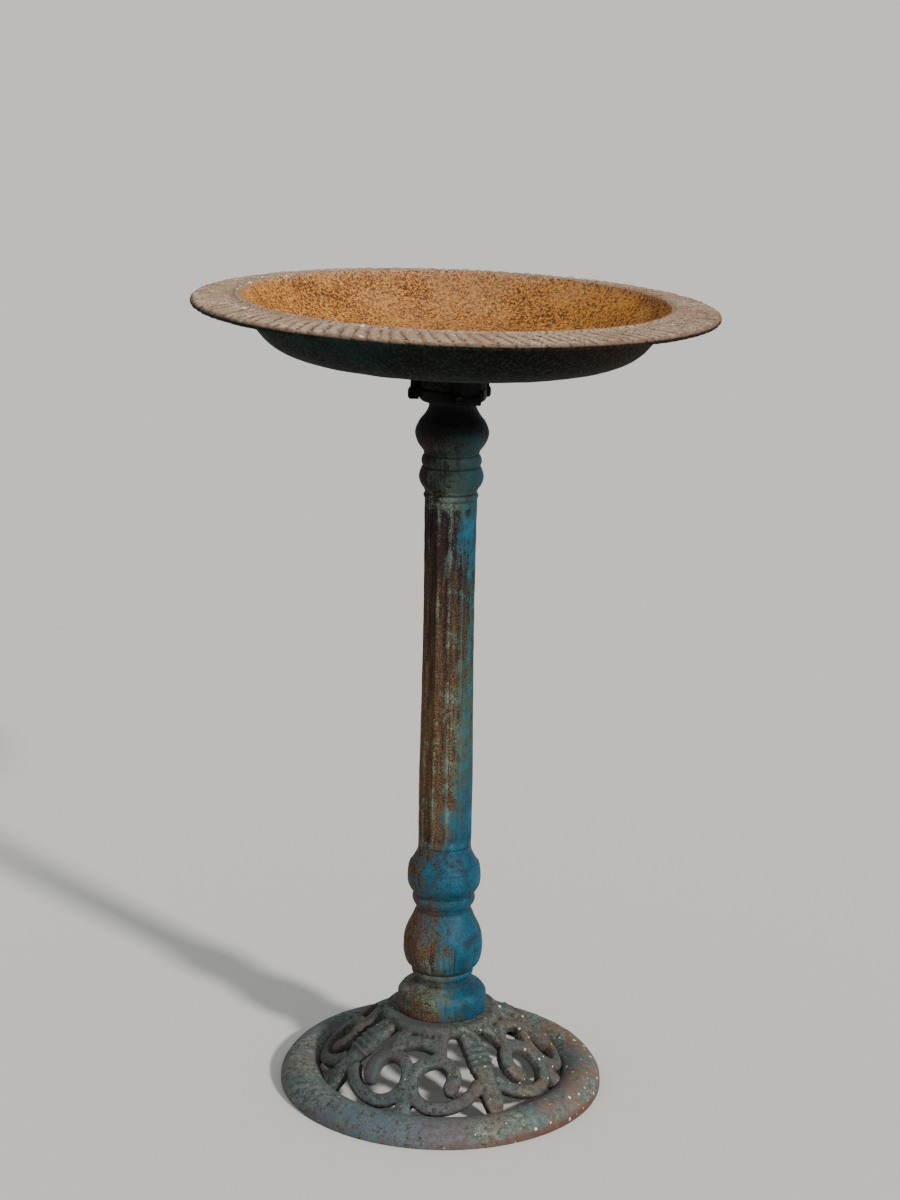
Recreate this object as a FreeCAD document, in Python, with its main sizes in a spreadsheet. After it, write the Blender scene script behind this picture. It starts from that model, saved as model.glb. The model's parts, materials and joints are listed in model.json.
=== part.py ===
import FreeCAD, Part
import Sketcher
import math
import os
from FreeCAD import Placement, Rotation, Vector

# Cast-iron bird bath: a wide basin twist-locked onto a fluted column, on a pierced
# scrollwork foot. Millimetres, +Z up, origin on the ground under the column's axis.

doc = FreeCAD.newDocument("BirdBath")

# ---------------------------------------------------------------- driving dimensions
dimensions = [
    # levels of the stacked castings above the ground
    ("collar_top", 70.0),
    ("shaft_foot", 225.0),
    ("capital_foot", 538.0),
    ("head_top", 633.5),
    ("seat_gap", 1.0),
    # tie rod and its hardware, M10
    ("rod_radius", 5.0),
    ("rod_hole_radius", 5.5),
    ("rod_foot", 35.0),
    ("rod_top", 640.0),
    ("nut_across_corners", 19.6),
    ("nut_height", 8.0),
    ("washer_radius", 10.0),
    ("wide_washer_radius", 15.0),
    ("washer_thickness", 2.0),
    ("core_radius", 12.0),
    ("spigot_radius", 15.0),
    ("spigot_length", 7.0),
    ("spigot_gap", 0.2),
    # lower baluster: radii, and heights above its own foot
    ("foot_radius", 39.6),
    ("foot_wall", 16.5),
    ("low_waist_radius", 24.4),
    ("low_waist_level", 28.0),
    ("low_bead_radius", 27.0),
    ("low_bulb_radius", 35.9),
    ("low_bulb_level", 60.0),
    ("mid_neck_radius", 24.3),
    ("mid_neck_level", 95.6),
    ("mid_bead_radius", 27.2),
    ("high_bulb_foot", 111.5),
    ("high_bulb_top", 148.6),
    # fluted shaft
    ("shaft_radius", 23.5),
    ("shaft_top_radius", 22.5),
    ("flute_count", 12),
    ("flute_radius", 4.6),
    ("flute_depth", 2.0),
    ("flute_margin", 5.0),
    # capital: radii, and heights above its own foot
    ("cap_bead_radius", 25.2),
    ("cap_waist_radius", 23.5),
    ("cap_waist_level", 39.5),
    ("cap_bulb_top", 74.6),
    ("cap_neck_radius", 20.3),
    ("head_radius", 28.5),
    ("lobe_radius", 33.0),
    ("lobe_height", 6.0),
    ("lobe_angle", 62.0),
    ("pilot_radius", 17.0),
    ("pilot_height", 8.5),
    ("counterbore_radius", 13.0),
    ("counterbore_depth", 15.0),
    # basin: radii, and heights above its seat
    ("rim_radius", 222.0),
    ("rim_top", 71.0),
    ("rim_thickness", 5.0),
    ("flange_inner_radius", 186.0),
    ("flange_inner_top", 73.5),
    ("bead_radius", 182.5),
    ("bead_top", 75.5),
    ("bowl_mouth_radius", 179.5),
    ("wall_top_radius", 184.0),
    ("wall_top_level", 69.0),
    ("wall_foot_radius", 157.0),
    ("wall_foot_level", 42.0),
    ("floor_radius", 123.0),
    ("floor_level", 25.5),
    ("wall_thickness", 6.4),
    ("boss_radius", 28.5),
    ("boss_height", 20.5),
    ("bore_radius", 17.7),
    ("bore_depth", 10.0),
    ("hook_outer_radius", 38.0),
    ("hook_leg_radius", 36.0),
    ("hook_inner_radius", 33.8),
    ("hook_lip_radius", 29.4),
    ("hook_reach", 11.7),
    ("hook_lip_thickness", 3.5),
    ("hook_count", 3),
    ("hook_angle", 50.0),
    ("hook_turn", 50.0),
    ("basin_tilt", 1.1),
    # locking screw, M4 pan head, through one hook
    ("screw_radius", 2.0),
    ("screw_head_radius", 3.6),
    ("screw_head_height", 1.6),
    ("screw_tip_radius", 33.4),
    ("screw_drop", 5.3),
    ("screw_slot_width", 1.0),
    ("screw_slot_depth", 0.9),
    ("screw_turn", 278.5),
    # foot: ground ring, dome and collar
    ("ring_radius", 144.5),
    ("ring_crown_radius", 128.0),
    ("ring_height", 20.0),
    ("ring_wall", 6.0),
    ("ring_inner_radius", 109.0),
    ("collar_radius", 52.0),
    ("hub_radius", 20.0),
    ("hub_foot", 50.0),
    ("dome_top", 66.0),
    ("dome_crown_radius", 81.0),
    ("dome_crown_level", 46.6),
    ("dome_foot_radius", 113.0),
    ("dome_foot_level", 12.5),
    ("dome_thickness", 8.0),
    # scrollwork of the dome
    ("stem_count", 4),
    ("stem_turn", -63.0),
    ("stem_width", 17.0),
    ("scroll_offset_angle", 28.8),
    ("scroll_place_radius", 91.0),
    ("scroll_place_level", 36.5),
    ("scroll_slope", 46.0),
    ("scroll_width", 10.5),
    ("scroll_radius", 20.5),
    ("scroll_lead_radius", 41.5),
    ("scroll_curl_radius", 15.0),
    ("scroll_tip_radius", 10.0),
    ("scroll_shift", -2.0),
    ("scroll_start_angle", 21.0),
    ("scroll_curl_end", 380.0),
    ("scroll_tip_end", 440.0),
    ("short_bar_angle", 27.0),
    ("short_bar_width", 9.0),
    ("short_bar_end", 76.0),
    ("apron_width", 30.0),
    ("apron_end", 66.0),
]

sheet = doc.addObject("Spreadsheet::Sheet", "Dims")
for row, (alias, value) in enumerate(dimensions, start=1):
    sheet.set(f"A{row}", alias)
    sheet.set(f"B{row}", str(value))
    sheet.setAlias(f"B{row}", alias)
doc.recompute()


def dim(alias):
    """Value of one driving dimension."""
    return float(getattr(sheet, alias))


# ---------------------------------------------------------------- sketch helpers
def origin_plane(body, role):
    return [item for item in body.Origin.OriginFeatures if item.Role == role][0]


def new_body(label):
    body = doc.addObject("PartDesign::Body", label)
    body.Label = label
    return body


def new_sketch(body, name, role="XZ_Plane"):
    sketch = body.newObject("Sketcher::SketchObject", name)
    sketch.AttachmentSupport = [(origin_plane(body, role), "")]
    sketch.MapMode = "FlatFace"
    return sketch


def evaluate(expression):
    return float(sheet.evalExpression(expression.replace("Dims.", "")))


def bind_point(sketch, geometry, end, across, up):
    """Ties one vertex to the sheet, measured from the sketch's origin."""
    for kind, expression in (("DistanceX", across), ("DistanceY", up)):
        value = evaluate(expression)
        if abs(value) < 1e-9:
            axis = -2 if kind == "DistanceX" else -1
            sketch.addConstraint(Sketcher.Constraint("PointOnObject", geometry, end, axis))
            continue
        index = sketch.addConstraint(Sketcher.Constraint(kind, -1, 1, geometry, end, value))
        sketch.setExpression(f"Constraints[{index}]", expression)


def arc_through(start, finish, radius, bulge):
    """Arc of the given radius, drawn counter-clockwise, and whether that starts at start.
    Bulge +1 swells away from the axis, -1 towards it."""
    chord = finish - start
    side = Vector(chord.y, -chord.x, 0).normalize()
    if side.x * bulge < 0:
        side = side * -1
    sagitta = radius - math.sqrt(radius ** 2 - (chord.Length / 2) ** 2)
    middle = (start + finish) * 0.5 + side * sagitta
    forward = (middle - start).cross(finish - start).z > 0
    arc = Part.Arc(start, middle, finish) if forward else Part.Arc(finish, middle, start)
    return arc, forward


def profile_sketch(body, name, points):
    """Closed profile. Each point is (across, up) or (across, up, radius, bulge): the
    last two make the side that ends at this point an arc."""
    sketch = new_sketch(body, name)
    places = [Vector(evaluate(point[0]), evaluate(point[1]), 0) for point in points]
    count = len(points)
    ends = []
    for index in range(count):
        after = (index + 1) % count
        if len(points[after]) == 4:
            radius, bulge = points[after][2:]
            arc, forward = arc_through(places[index], places[after], radius, bulge)
            geometry = sketch.addGeometry(arc, False)
            sketch.addConstraint(Sketcher.Constraint("Radius", geometry, radius))
            ends.append((geometry, 1, 2) if forward else (geometry, 2, 1))
        else:
            geometry = sketch.addGeometry(Part.LineSegment(places[index], places[after]), False)
            ends.append((geometry, 1, 2))
    for index in range(count):
        after = (index + 1) % count
        first, second = ends[index], ends[after]
        joint = Sketcher.Constraint("Coincident", first[0], first[2], second[0], second[1])
        sketch.addConstraint(joint)
    for index in range(count):
        bind_point(sketch, ends[index][0], ends[index][1], points[index][0], points[index][1])
    return sketch


def revolve(body, sketch, name, angle=360.0):
    feature = body.newObject("PartDesign::Revolution", name)
    feature.Profile = sketch
    feature.ReferenceAxis = (sketch, ["V_Axis"])
    feature.Midplane = angle < 360.0
    feature.Angle = angle
    return feature


def pattern_round(body, feature, name, count):
    """Copies a feature evenly round the body's upright axis."""
    pattern = body.newObject("PartDesign::PolarPattern", name)
    pattern.Originals = [feature]
    pattern.Axis = (origin_plane(body, "Z_Axis"), [""])
    pattern.Angle = 360.0
    pattern.setExpression("Occurrences", count)
    body.Tip = pattern
    return pattern


# ---------------------------------------------------------------- lower baluster
def make_baluster():
    body = new_body("lower_baluster")
    top = "Dims.shaft_foot - Dims.collar_top"
    socket = "Dims.spigot_radius + Dims.spigot_gap"
    outline = [
        ("Dims.rod_hole_radius", "-Dims.spigot_length"),
        ("Dims.core_radius", "-Dims.spigot_length"),
        ("Dims.core_radius", "0"),
        ("Dims.foot_radius", "0"),
        ("Dims.foot_radius", "Dims.foot_wall"),
        ("Dims.foot_radius - 4", "Dims.foot_wall + 4.5"),
        ("Dims.low_waist_radius + 2", "Dims.low_waist_level - 2"),
        ("Dims.low_waist_radius", "Dims.low_waist_level"),
        ("Dims.low_waist_radius + 0.4", "Dims.low_waist_level + 3"),
        ("Dims.low_bead_radius", "Dims.low_waist_level + 10.5", 5.2, 1),
        ("Dims.low_bulb_radius", "Dims.low_bulb_level", 28.0, 1),
        ("Dims.mid_neck_radius + 1.6", "Dims.mid_neck_level - 3.6", 50.0, 1),
        ("Dims.mid_neck_radius", "Dims.mid_neck_level"),
        ("Dims.mid_neck_radius", "Dims.mid_neck_level + 3"),
        ("Dims.mid_bead_radius", "Dims.high_bulb_foot - 1.5", 7.5, 1),
        ("Dims.mid_bead_radius + 0.8", "Dims.high_bulb_foot"),
        ("Dims.shaft_radius + 1", "Dims.high_bulb_top", 23.0, 1),
        ("Dims.shaft_radius", top + " - 3"),
        ("Dims.shaft_radius", top),
        (socket, top),
        (socket, top + " - Dims.spigot_length - Dims.spigot_gap"),
        ("Dims.core_radius", top + " - Dims.spigot_length - Dims.spigot_gap"),
        ("Dims.core_radius", "Dims.foot_wall"),
        ("Dims.rod_hole_radius", "Dims.foot_wall"),
    ]
    revolve(body, profile_sketch(body, "BalusterProfile", outline), "BalusterForm")
    body.Placement = Placement(Vector(0, 0, dim("collar_top")), Rotation())
    return body


# ---------------------------------------------------------------- fluted shaft
def make_shaft():
    body = new_body("fluted_shaft")
    top = "Dims.capital_foot - Dims.shaft_foot"
    outline = [
        ("Dims.core_radius", "-Dims.spigot_length"),
        ("Dims.spigot_radius", "-Dims.spigot_length"),
        ("Dims.spigot_radius", "0"),
        ("Dims.shaft_radius", "0"),
        ("Dims.shaft_top_radius", top),
        ("Dims.spigot_radius", top),
        ("Dims.spigot_radius", top + " + Dims.spigot_length"),
        ("Dims.core_radius", top + " + Dims.spigot_length"),
    ]
    form = revolve(body, profile_sketch(body, "ShaftProfile", outline), "ShaftForm")
    doc.recompute()
    solid_volume = form.Shape.Volume
    # One flute is a round-bottomed channel cut upwards from just above the foot.
    sketch = new_sketch(body, "FluteSection", "XY_Plane")
    sketch.AttachmentOffset = Placement(Vector(0, 0, dim("flute_margin")), Rotation())
    sketch.setExpression("AttachmentOffset.Base.z", "Dims.flute_margin")
    reach = "Dims.shaft_top_radius - Dims.flute_depth + Dims.flute_radius"
    centre = Vector(evaluate(reach), 0, 0)
    circle = sketch.addGeometry(Part.Circle(centre, Vector(0, 0, 1), dim("flute_radius")), False)
    sketch.addConstraint(Sketcher.Constraint("PointOnObject", circle, 3, -1))
    size = sketch.addConstraint(Sketcher.Constraint("Radius", circle, dim("flute_radius")))
    sketch.setExpression(f"Constraints[{size}]", "Dims.flute_radius")
    place = sketch.addConstraint(
        Sketcher.Constraint("DistanceX", -1, 1, circle, 3, centre.x))
    sketch.setExpression(f"Constraints[{place}]", reach)
    flute = body.newObject("PartDesign::Pocket", "Flute")
    flute.Profile = sketch
    flute.Reversed = True
    flute.setExpression("Length", f"{top} - 2 * Dims.flute_margin")
    pattern_round(body, flute, "Flutes", "Dims.flute_count")
    doc.recompute()
    if body.Shape.Volume >= solid_volume:
        raise RuntimeError("the flutes cut nothing")
    # Turned by half a flute, so that a ridge between two flutes faces the front.
    half_flute = Rotation(Vector(0, 0, 1), 180.0 / dim("flute_count"))
    body.Placement = Placement(Vector(0, 0, dim("shaft_foot")), half_flute)
    return body


# ---------------------------------------------------------------- capital
def make_capital():
    body = new_body("column_capital")
    top = "Dims.head_top - Dims.capital_foot"
    socket = "Dims.spigot_radius + Dims.spigot_gap"
    shelf = "Dims.head_top - Dims.capital_foot + Dims.pilot_height - Dims.counterbore_depth"
    outline = [
        (socket, "0"),
        ("Dims.shaft_top_radius", "0"),
        ("Dims.shaft_top_radius", "8"),
        ("Dims.cap_bead_radius", "13"),
        ("Dims.cap_bead_radius", "26", 9.7, 1),
        ("Dims.cap_bead_radius - 0.4", "29"),
        ("Dims.cap_waist_radius + 0.8", "36.5", 5.2, 1),
        ("Dims.cap_waist_radius", "Dims.cap_waist_level"),
        ("Dims.cap_waist_radius + 1", "Dims.cap_waist_level + 2.5"),
        ("Dims.cap_neck_radius + 2.3", "Dims.cap_bulb_top", 20.7, 1),
        ("Dims.cap_neck_radius", "Dims.cap_bulb_top + 5"),
        ("Dims.cap_neck_radius", "Dims.cap_bulb_top + 7.5"),
        ("Dims.head_radius - 1.5", top + " - 9.5"),
        ("Dims.head_radius", top + " - 7.5"),
        ("Dims.head_radius", top),
        ("Dims.pilot_radius", top),
        ("Dims.pilot_radius", top + " + Dims.pilot_height"),
        ("Dims.counterbore_radius", top + " + Dims.pilot_height"),
        ("Dims.counterbore_radius", shelf),
        ("Dims.rod_hole_radius", shelf),
        ("Dims.rod_hole_radius", shelf + " - 14"),
        ("Dims.core_radius", shelf + " - 14"),
        ("Dims.core_radius", "Dims.spigot_length + Dims.spigot_gap"),
        (socket, "Dims.spigot_length + Dims.spigot_gap"),
    ]
    revolve(body, profile_sketch(body, "CapitalProfile", outline), "CapitalForm")
    # Three lobes round the head, which the basin's hooks turn under.
    lobe_outline = [
        ("Dims.head_radius - 3", top + " - Dims.lobe_height"),
        ("Dims.lobe_radius", top + " - Dims.lobe_height"),
        ("Dims.lobe_radius", top),
        ("Dims.head_radius - 3", top),
    ]
    sketch = profile_sketch(body, "LobeProfile", lobe_outline)
    lobe = revolve(body, sketch, "Lobe", dim("lobe_angle"))
    lobe.setExpression("Angle", "Dims.lobe_angle")
    pattern_round(body, lobe, "Lobes", "Dims.hook_count")
    turn = Rotation(Vector(0, 0, 1), dim("hook_turn"))
    body.Placement = Placement(Vector(0, 0, dim("capital_foot")), turn)
    return body


# ---------------------------------------------------------------- basin
def basin_placement():
    """The basin sits on the column's head with a slight lean, one side low."""
    seat = Vector(0, 0, dim("head_top") + dim("seat_gap"))
    return Placement(seat, Rotation(Vector(0, 1, 0), dim("basin_tilt")))


def make_basin():
    body = new_body("BasinForm")
    slope = math.atan2(dim("wall_top_level") - dim("wall_foot_level"),
                       dim("wall_top_radius") - dim("wall_foot_radius"))
    inward = dim("wall_thickness") * math.sin(slope)
    upward = dim("wall_thickness") * math.cos(slope)
    outline = [
        ("0", "Dims.floor_level + 1"),
        ("0", "Dims.bore_depth"),
        ("Dims.bore_radius", "Dims.bore_depth"),
        ("Dims.bore_radius", "0"),
        ("Dims.boss_radius", "0"),
        ("Dims.boss_radius", "Dims.boss_height - 4"),
        ("Dims.boss_radius + 5", "Dims.boss_height", 6.0, -1),
        ("Dims.floor_radius", "Dims.floor_level"),
        ("Dims.wall_foot_radius", "Dims.wall_foot_level", 58.0, 1),
        ("Dims.wall_top_radius", "Dims.wall_top_level"),
        ("Dims.flange_inner_radius", "Dims.flange_inner_top - 5.5"),
        ("Dims.rim_radius - 1", "Dims.rim_top - Dims.rim_thickness"),
        ("Dims.rim_radius", "Dims.rim_top - Dims.rim_thickness + 1"),
        ("Dims.rim_radius", "Dims.rim_top - 1.5"),
        ("Dims.rim_radius - 1.5", "Dims.rim_top"),
        ("Dims.flange_inner_radius", "Dims.flange_inner_top"),
        ("Dims.bead_radius", "Dims.bead_top"),
        ("Dims.bowl_mouth_radius", "Dims.flange_inner_top"),
        (f"Dims.wall_top_radius - {inward:.2f}", "Dims.flange_inner_top - 3.0"),
        (f"Dims.wall_foot_radius - {inward:.2f}", f"Dims.wall_foot_level + {upward:.2f}"),
        ("Dims.floor_radius - 2", "Dims.floor_level + Dims.wall_thickness", 52.0, 1),
    ]
    revolve(body, profile_sketch(body, "BasinProfile", outline), "BowlForm")
    # Three hooks hang from the boss and reach under the lobes of the column's head.
    reach = "-Dims.hook_reach"
    lip_top = "Dims.hook_lip_thickness - Dims.hook_reach"
    hook_outline = [
        ("Dims.boss_radius - 4", "Dims.boss_height + 1"),
        ("Dims.boss_radius - 4", "0"),
        ("Dims.hook_inner_radius", "0"),
        ("Dims.hook_inner_radius", lip_top),
        ("Dims.hook_lip_radius", lip_top),
        ("Dims.hook_lip_radius", reach),
        ("Dims.hook_outer_radius - 1", reach),
        ("Dims.hook_outer_radius", reach + " + 1"),
        ("Dims.hook_outer_radius", "-3"),
        ("Dims.hook_leg_radius", "-2"),
        ("Dims.hook_leg_radius", "Dims.boss_height + 1"),
    ]
    hook = revolve(body, profile_sketch(body, "HookProfile", hook_outline), "Hook",
                   dim("hook_angle"))
    hook.setExpression("Angle", "Dims.hook_angle")
    pattern_round(body, hook, "Hooks", "Dims.hook_count")
    turn = Placement(Vector(), Rotation(Vector(0, 0, 1), dim("hook_turn")))
    body.Placement = basin_placement().multiply(turn)
    return body


def screw_placement(distance):
    """Frame on the locking screw's axis, its Z pointing away from the column."""
    angle = math.radians(dim("screw_turn"))
    outward = Vector(math.cos(angle), math.sin(angle), 0)
    base = outward * distance + Vector(0, 0, -dim("screw_drop"))
    local = Placement(base, Rotation(Vector(0, 0, 1), outward))
    return basin_placement().multiply(local)


def make_screw():
    shank = doc.addObject("Part::Cylinder", "ScrewShank")
    shank.setExpression("Radius", "Dims.screw_radius")
    shank.setExpression("Height", "Dims.hook_outer_radius - Dims.screw_tip_radius + 0.5")
    shank.Placement = screw_placement(dim("screw_tip_radius"))
    head = doc.addObject("Part::Cylinder", "ScrewHead")
    head.setExpression("Radius", "Dims.screw_head_radius")
    head.setExpression("Height", "Dims.screw_head_height")
    head.Placement = screw_placement(dim("hook_outer_radius"))
    whole = doc.addObject("Part::Fuse", "ScrewBlank")
    whole.Base = shank
    whole.Tool = head
    slot = doc.addObject("Part::Box", "ScrewSlot")
    slot.setExpression("Length", "2 * Dims.screw_head_radius + 1")
    slot.setExpression("Width", "Dims.screw_slot_width")
    slot.setExpression("Height", "Dims.screw_slot_depth + 1")
    centred = Placement(Vector(-dim("screw_head_radius") - 0.5, -dim("screw_slot_width") / 2, 0), Rotation())
    slot_floor = dim("hook_outer_radius") + dim("screw_head_height") - dim("screw_slot_depth")
    face = screw_placement(slot_floor)
    slot.Placement = face.multiply(centred)
    screw = doc.addObject("Part::Cut", "basin_lock_screw")
    screw.Base = whole
    screw.Tool = slot
    return screw


def drill_basin(body):
    """Opens the tapped hole for the locking screw in the front hook."""
    drill = doc.addObject("Part::Cylinder", "ScrewHole")
    drill.setExpression("Radius", "Dims.screw_radius")
    drill.Height = 8.0
    drill.Placement = screw_placement(dim("hook_inner_radius") - 1.0)
    basin = doc.addObject("Part::Cut", "basin_casting")
    basin.Base = body
    basin.Tool = drill
    return basin


# ---------------------------------------------------------------- tie rod and hardware
def make_cylinder(name, radius, height, level):
    item = doc.addObject("Part::Cylinder", name)
    item.setExpression("Radius", radius)
    item.setExpression("Height", height)
    item.setExpression("Placement.Base.z", level)
    return item


def make_rod():
    blank = make_cylinder("RodBlank", "Dims.rod_radius", "Dims.rod_top - Dims.rod_foot",
                          "Dims.rod_foot")
    doc.recompute()
    rod = doc.addObject("Part::Chamfer", "tie_rod")
    rod.Base = blank
    ends = [index for index, edge in enumerate(blank.Shape.Edges, start=1)
            if isinstance(edge.Curve, Part.Circle)]
    rod.Edges = [(index, 1.0, 1.0) for index in ends]
    return rod


def make_washer(name, radius, level):
    disc = make_cylinder(name + "Disc", radius, "Dims.washer_thickness", level)
    hole = make_cylinder(name + "Hole", "Dims.rod_radius + 0.3", "Dims.washer_thickness", level)
    washer = doc.addObject("Part::Cut", name)
    washer.Base = disc
    washer.Tool = hole
    return washer


def make_lock_washer(name, level):
    """Split spring washer: a flat ring with one slanted gap."""
    ring = make_washer(name + "Ring", "Dims.washer_radius - 1", level)
    gap = doc.addObject("Part::Box", name + "Gap")
    gap.setExpression("Length", "Dims.washer_radius")
    gap.Width = 1.2
    gap.Height = 6.0
    gap.Placement = Placement(Vector(0, -0.6, evaluate(level) - 2), Rotation(Vector(1, 0, 0), 25))
    washer = doc.addObject("Part::Cut", name)
    washer.Base = ring
    washer.Tool = gap
    return washer


def make_nut(name, level):
    """Hexagon nut with its corners turned off at both faces."""
    prism = doc.addObject("Part::Prism", name + "Prism")
    prism.Polygon = 6
    prism.setExpression("Circumradius", "Dims.nut_across_corners / 2")
    prism.setExpression("Height", "Dims.nut_height")
    prism.setExpression("Placement.Base.z", level)
    turned = make_cylinder(name + "Turned", "Dims.nut_across_corners / 2 - 0.1",
                           "Dims.nut_height", level)
    doc.recompute()
    eased = doc.addObject("Part::Chamfer", name + "Eased")
    eased.Base = turned
    eased.Edges = [(index, 0.8, 1.2) for index, edge in enumerate(turned.Shape.Edges, start=1)
                   if isinstance(edge.Curve, Part.Circle)]
    blank = doc.addObject("Part::Common", name + "Blank")
    blank.Base = prism
    blank.Tool = eased
    thread = make_cylinder(name + "Thread", "Dims.rod_radius", "Dims.nut_height", level)
    nut = doc.addObject("Part::Cut", name)
    nut.Base = blank
    nut.Tool = thread
    return nut


# ---------------------------------------------------------------- foot
def make_ring_and_collar():
    """Turned parts of the foot: the half-round ground ring and the collar with its hub."""
    body = new_body("RingForm")
    wall = "Dims.ring_wall"
    ring_outline = [
        (f"Dims.ring_radius - {wall}", "0"),
        ("Dims.ring_radius", "0"),
        ("Dims.ring_radius", "5"),
        ("Dims.ring_crown_radius", "Dims.ring_height", 17.0, 1),
        ("Dims.ring_inner_radius", "12.5", 30.0, 1),
        ("Dims.ring_inner_radius", "6.5"),
        ("Dims.ring_crown_radius", f"Dims.ring_height - {wall}", 30.0, 1),
        (f"Dims.ring_radius - {wall}", "4", 12.5, 1),
    ]
    revolve(body, profile_sketch(body, "RingProfile", ring_outline), "Ring")
    collar = new_body("CollarForm")
    collar_outline = [
        ("Dims.rod_hole_radius", "Dims.hub_foot"),
        ("Dims.hub_radius", "Dims.hub_foot"),
        ("Dims.hub_radius + 2", "Dims.collar_top - 12"),
        ("Dims.collar_radius - 4", "Dims.collar_top - 12"),
        ("Dims.collar_radius", "Dims.dome_top - 3"),
        ("Dims.collar_radius", "Dims.collar_top - 3"),
        ("Dims.collar_radius - 3", "Dims.collar_top", 3.0, 1),
        ("Dims.core_radius + Dims.spigot_gap", "Dims.collar_top"),
        ("Dims.core_radius + Dims.spigot_gap", "Dims.collar_top - Dims.spigot_length - 0.2"),
        ("Dims.rod_hole_radius", "Dims.collar_top - Dims.spigot_length - 0.2"),
    ]
    revolve(collar, profile_sketch(collar, "CollarProfile", collar_outline), "Collar")
    return body, collar


def make_dome():
    """Plain dome shell between the collar and the ring, before it is pierced."""
    drop = dim("dome_thickness")
    top = Vector(dim("collar_radius") - 4, 0, dim("dome_top"))
    crown = Vector(dim("dome_crown_radius"), 0, dim("dome_crown_level"))
    foot = Vector(dim("dome_foot_radius"), 0, dim("dome_foot_level"))
    lean = math.radians(dim("scroll_slope"))
    inset = Vector(-drop * math.sin(lean), 0, -drop * math.cos(lean))
    low_top = top + Vector(0, 0, -drop)
    low_foot = foot + Vector(-drop, 0, 0)
    edges = [
        Part.Arc(top, crown, foot).toShape(),
        Part.LineSegment(foot, low_foot).toShape(),
        Part.Arc(low_foot, crown + inset, low_top).toShape(),
        Part.LineSegment(low_top, top).toShape(),
    ]
    return Part.Face(Part.Wire(edges)).revolve(Vector(), Vector(0, 0, 1), 360)


def scroll_outline():
    """Band that curls in four tangent arcs: (centre, radius, from, to) in degrees.
    Across is towards the stem, down is down the dome, angles run from across to down."""
    main = dim("scroll_radius")
    lead = dim("scroll_lead_radius")
    shift = dim("scroll_shift")
    arcs = [(Vector(shift, main - lead, 0), lead, dim("scroll_start_angle"), 90.0),
            (Vector(shift, 0, 0), main, 90.0, 270.0)]
    for radius, finish in ((dim("scroll_curl_radius"), dim("scroll_curl_end")),
                           (dim("scroll_tip_radius"), dim("scroll_tip_end"))):
        centre, last_radius, _, start = arcs[-1]
        angle = math.radians(start)
        outward = Vector(math.cos(angle), math.sin(angle), 0)
        arcs.append((centre + outward * (last_radius - radius), radius, start, finish))
    return arcs


def scroll_prism(turn, mirror):
    """One scroll band as a prism through the dome, square to the dome's slope."""
    half = dim("scroll_width") / 2
    angle = math.radians(turn)
    slope = math.radians(dim("scroll_slope"))
    out = Vector(math.cos(angle), math.sin(angle), 0)
    across = Vector(-math.sin(angle), math.cos(angle), 0) * mirror
    down = out * math.cos(slope) + Vector(0, 0, -math.sin(slope))
    normal = out * math.sin(slope) + Vector(0, 0, math.cos(slope))
    centre = out * dim("scroll_place_radius") + Vector(0, 0, dim("scroll_place_level"))

    def place(point):
        return centre + across * point.x + down * point.y

    def on_arc(middle, radius, degrees):
        radians = math.radians(degrees)
        return place(middle + Vector(math.cos(radians), math.sin(radians), 0) * radius)

    def edge(middle, radius, start, finish):
        ends = [on_arc(middle, radius, value) for value in (start, (start + finish) / 2, finish)]
        return Part.Arc(*ends).toShape()

    arcs = scroll_outline()
    edges = [edge(middle, radius + half, start, finish) for middle, radius, start, finish in arcs]
    middle, radius, _, finish = arcs[-1]
    tip = middle + Vector(math.cos(math.radians(finish)), math.sin(math.radians(finish)), 0) * radius
    edges.append(edge(tip, half, finish, finish + 180.0))
    for middle, radius, start, finish in reversed(arcs):
        edges.append(edge(middle, radius - half, finish, start))
    middle, radius, start, _ = arcs[0]
    root_inner = on_arc(middle, radius - half, start)
    root_outer = on_arc(middle, radius + half, start)
    edges.append(Part.LineSegment(root_inner, root_outer).toShape())
    face = Part.Face(Part.Wire(edges))
    face.translate(normal * -30)
    return face.extrude(normal * 60)


def bar_prism(turn, stations):
    """Upright prism over a bar in plan; stations are (distance from the axis, half width)."""
    left = [Vector(reach, half, 0) for reach, half in stations]
    right = [Vector(reach, -half, 0) for reach, half in reversed(stations)]
    outline = left + right
    face = Part.Face(Part.makePolygon(outline + [outline[0]]))
    prism = face.extrude(Vector(0, 0, 100))
    prism.rotate(Vector(), Vector(0, 0, 1), turn)
    return prism


def make_scrollwork():
    """Dome shell kept only where a stem, leaf, scroll, short bar or pad runs."""
    half = dim("stem_width") / 2
    bar = dim("short_bar_width") / 2
    apron = dim("apron_width") / 2
    inner = dim("collar_radius") - 8
    leaf_tip = dim("dome_foot_radius")
    offset = dim("scroll_offset_angle")
    quarter = 360.0 / dim("stem_count")
    prisms = []
    for index in range(int(dim("stem_count"))):
        turn = dim("stem_turn") + quarter * index
        prisms.append(bar_prism(turn, [(inner, half), (87, half), (95, 5.0), (105, 8.0), (leaf_tip, 4.5)]))
        prisms.append(scroll_prism(turn - offset, 1))
        prisms.append(scroll_prism(turn + offset, -1))
        for side in (-dim("short_bar_angle"), dim("short_bar_angle")):
            prisms.append(bar_prism(turn + side, [(inner, bar), (dim("short_bar_end"), bar)]))
        middle = turn + quarter / 2
        prisms.append(bar_prism(middle, [(inner, apron), (dim("apron_end"), apron)]))
        prisms.append(bar_prism(middle, [(100, 3.0), (104, 8.0), (leaf_tip, 9.0)]))
    pattern = prisms[0].multiFuse(prisms[1:])
    scrollwork = doc.addObject("Part::Feature", "Scrollwork")
    scrollwork.Shape = make_dome().common(pattern)
    return scrollwork


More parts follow.
